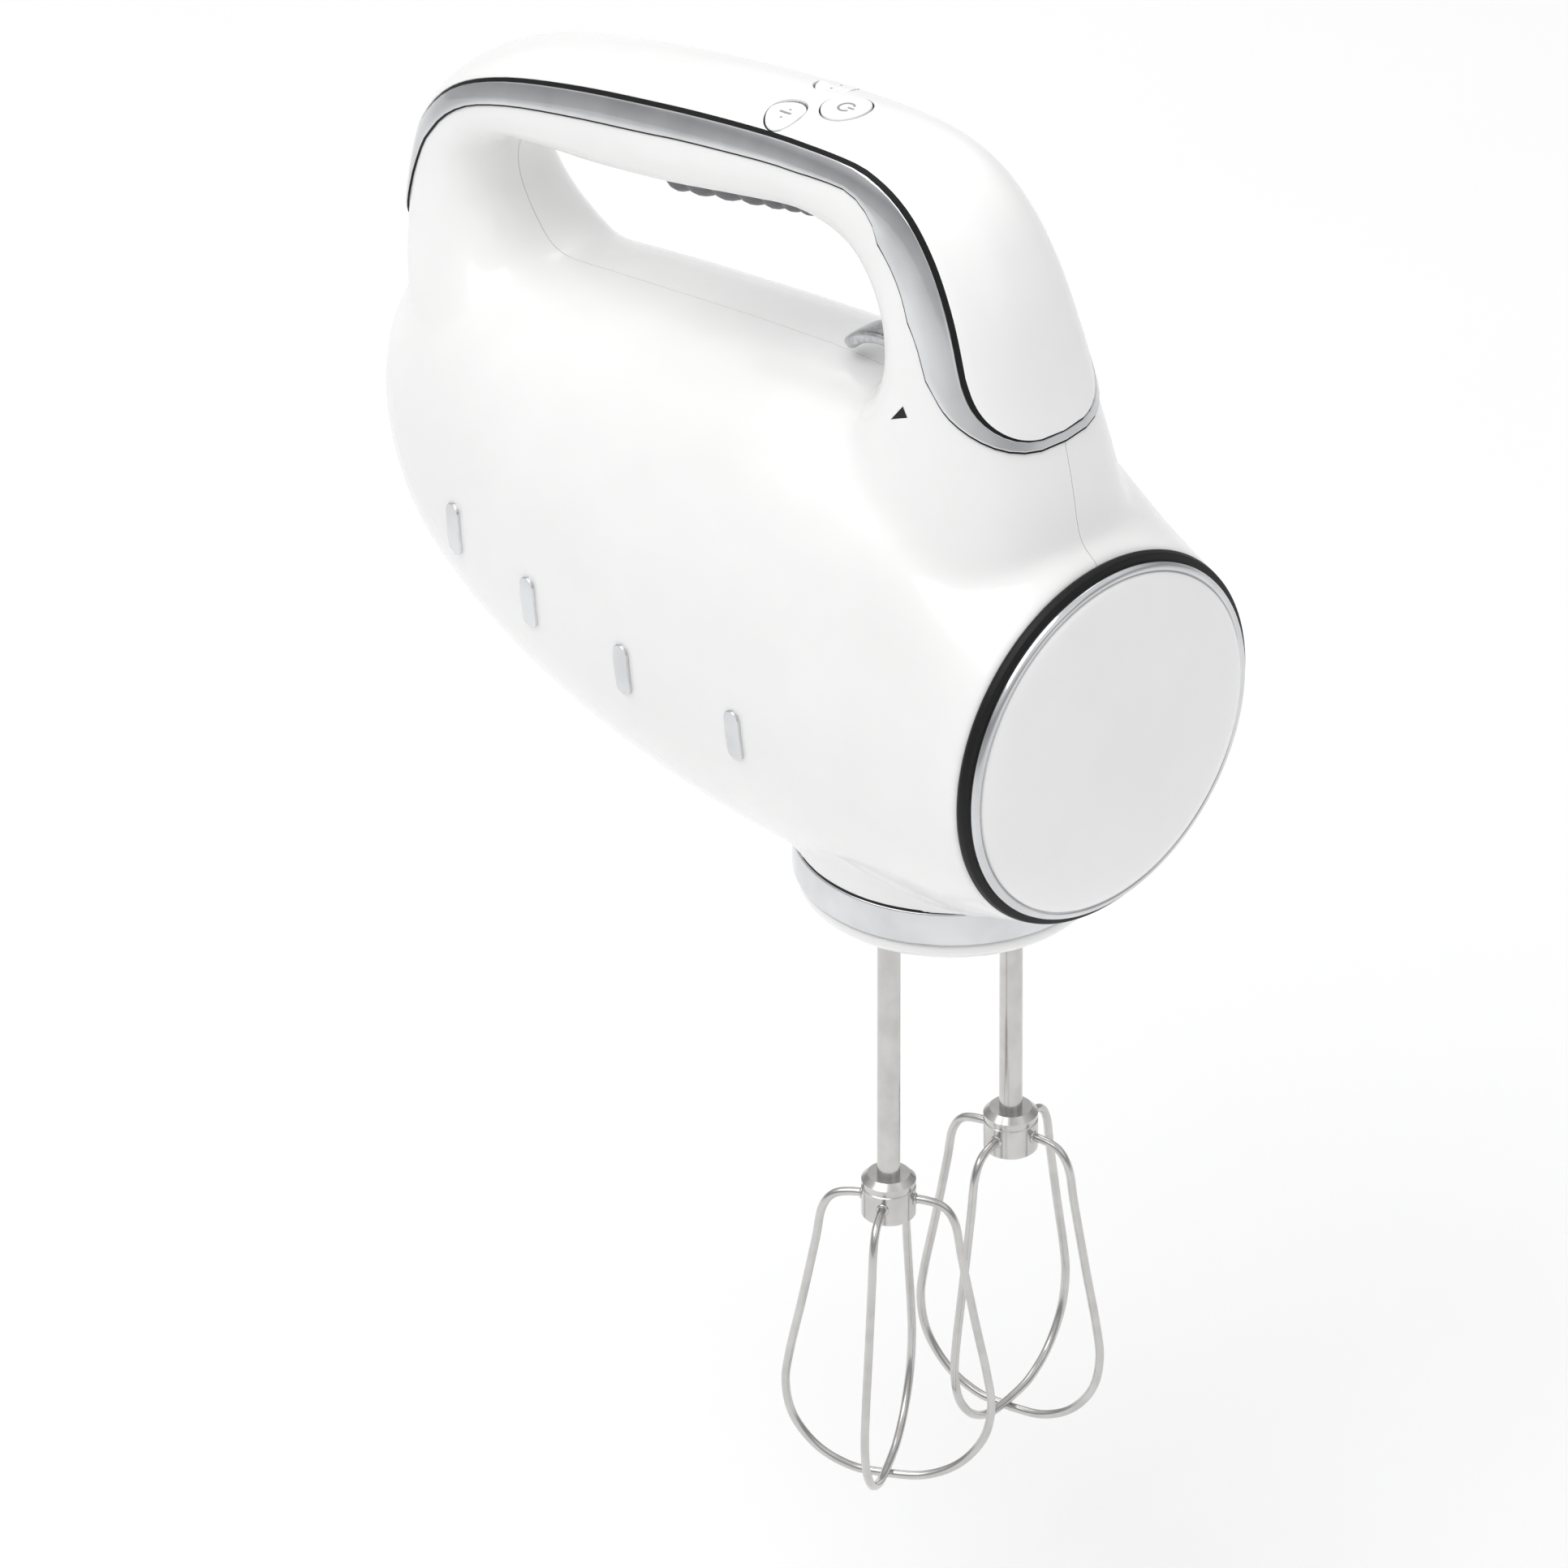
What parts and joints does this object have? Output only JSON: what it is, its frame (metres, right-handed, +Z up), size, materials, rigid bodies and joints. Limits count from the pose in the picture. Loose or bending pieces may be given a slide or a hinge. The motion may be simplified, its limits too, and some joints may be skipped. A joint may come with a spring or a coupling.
{
  "type": "hand mixer",
  "caption": "Hand mixer with a loop handle, press buttons, an eject lever and removable wire beaters driven by a worm gearbox.",
  "frame": {"origin": "middle of the hand grip, on the mixer's centre plane", "axes": "+X towards the round front cap, +Y to the user's left, +Z up; the beaters hang down"},
  "size_m": [0.2258, 0.0954, 0.3512],
  "materials": {
    "white_plastic": "glossy moulded ABS",
    "chrome_plate": "satin chrome plate",
    "black_seal": "matte",
    "grip_rubber": "matte ribbed elastomer",
    "stainless": "drawn stainless steel",
    "satin_lever": "satin chrome plate",
    "zinc_steel": "zinc plated",
    "grey_nylon": "moulded nylon",
    "bronze": "sintered",
    "laminations": "stamped sheets",
    "copper_wire": "enamelled winding",
    "carbon": "pressed graphite",
    "circuit_board": "solder mask"
  },
  "bodies": {
    "root": {"left_housing": "white_plastic", "right_housing": "white_plastic", "handle_cover": "white_plastic", "handle_trim": "chrome_plate", "grip_pad": "grip_rubber", "side_marks": "chrome_plate", "front_gasket": "black_seal", "front_ring": "chrome_plate", "front_cap": "white_plastic", "base_collar": "chrome_plate", "base_cap": "white_plastic", "cord_gland": "white_plastic", "housing_screws": "zinc_steel", "base_screws": "zinc_steel", "gearbox_case": "grey_nylon", "gearbox_lid": "grey_nylon", "gearbox_screws": "zinc_steel", "gearbox_bushes": "bronze", "base_bushes": "bronze", "front_bearing": "bronze", "rear_bearing": "bronze", "rear_bracket": "zinc_steel", "stator_core": "laminations", "field_coils": "copper_wire", "brush_holders": "bronze", "carbon_brushes": "carbon", "brush_springs": "zinc_steel", "power_board": "circuit_board", "control_board": "circuit_board", "tact_switches": "black_seal", "lever_pin": "zinc_steel", "eject_spring": "zinc_steel"},
    "armature": {"motor_shaft": "zinc_steel", "worm": "zinc_steel", "rotor_core": "laminations", "rotor_windings": "copper_wire", "commutator": "copper_wire", "cooling_fan": "grey_nylon"},
    "left_drive": {"left_spindle": "zinc_steel", "left_gear": "grey_nylon"},
    "right_drive": {"right_spindle": "zinc_steel", "right_gear": "grey_nylon"},
    "left_pin": {"left_eject_pin": "zinc_steel"},
    "right_pin": {"right_eject_pin": "zinc_steel"},
    "fork": {"ejector_fork": "grey_nylon"},
    "lever": {"eject_lever": "satin_lever"},
    "power": {"power_button": "white_plastic"},
    "plus": {"plus_button": "white_plastic"},
    "minus": {"minus_button": "white_plastic"},
    "left_beater": {"left_beater_shaft": "stainless", "left_beater_hub": "stainless", "left_wire_outer": "stainless", "left_wire_inner": "stainless"},
    "right_beater": {"right_beater_shaft": "stainless", "right_beater_hub": "stainless", "right_wire_outer": "stainless", "right_wire_inner": "stainless"}
  },
  "joints": [
    {"name": "armature_spin", "type": "hinge", "parent": "root", "child": "armature", "pos_m": [0.066, 0, -0.1125], "axis": [1, 0, 0], "continuous": true},
    {"name": "left_drive_spin", "type": "hinge", "parent": "root", "child": "left_drive", "pos_m": [0.066, 0.02, -0.1125], "axis": [0, 0, 1], "continuous": true},
    {"name": "right_drive_spin", "type": "hinge", "parent": "root", "child": "right_drive", "pos_m": [0.066, -0.02, -0.1125], "axis": [0, 0, 1], "continuous": true},
    {"name": "eject_lever_turn", "type": "hinge", "parent": "root", "child": "lever", "pos_m": [0.063, 0, -0.035], "axis": [0, 1, 0], "range_deg": [0, 14], "stiffness_Nm_per_rad": 0.4, "springref_deg": -8.59},
    {"name": "fork_slide", "type": "slide", "parent": "root", "child": "fork", "axis": [0, 0, -1], "range_m": [0, 0.00345], "deforming": ["eject_spring"]},
    {"name": "left_pin_slide", "type": "slide", "parent": "left_drive", "child": "left_pin", "axis": [0, 0, -1], "range_m": [0, 0.00345]},
    {"name": "right_pin_slide", "type": "slide", "parent": "right_drive", "child": "right_pin", "axis": [0, 0, -1], "range_m": [0, 0.00345]},
    {"name": "left_beater_pull", "type": "slide", "parent": "left_pin", "child": "left_beater", "axis": [0, 0, -1], "range_m": [0, 0.045]},
    {"name": "right_beater_pull", "type": "slide", "parent": "right_pin", "child": "right_beater", "axis": [0, 0, -1], "range_m": [0, 0.045]},
    {"name": "power_press", "type": "slide", "parent": "root", "child": "power", "axis": [0.1564, 0, -0.9877], "range_m": [0, 0.0008], "stiffness_N_per_m": 400, "springref_m": -0.001},
    {"name": "plus_press", "type": "slide", "parent": "root", "child": "plus", "axis": [0.1564, 0, -0.9877], "range_m": [0, 0.0008], "stiffness_N_per_m": 400, "springref_m": -0.001},
    {"name": "minus_press", "type": "slide", "parent": "root", "child": "minus", "axis": [0.1564, 0, -0.9877], "range_m": [0, 0.0008], "stiffness_N_per_m": 400, "springref_m": -0.001}
  ],
  "couplings": [
    {"joint": "left_drive_spin", "follows": "armature_spin", "ratio": -0.071429},
    {"joint": "right_drive_spin", "follows": "armature_spin", "ratio": 0.071429},
    {"joint": "fork_slide", "follows": "eject_lever_turn", "m_per_rad": 0.014},
    {"joint": "left_pin_slide", "follows": "eject_lever_turn", "m_per_rad": 0.014},
    {"joint": "right_pin_slide", "follows": "eject_lever_turn", "m_per_rad": 0.014}
  ]
}
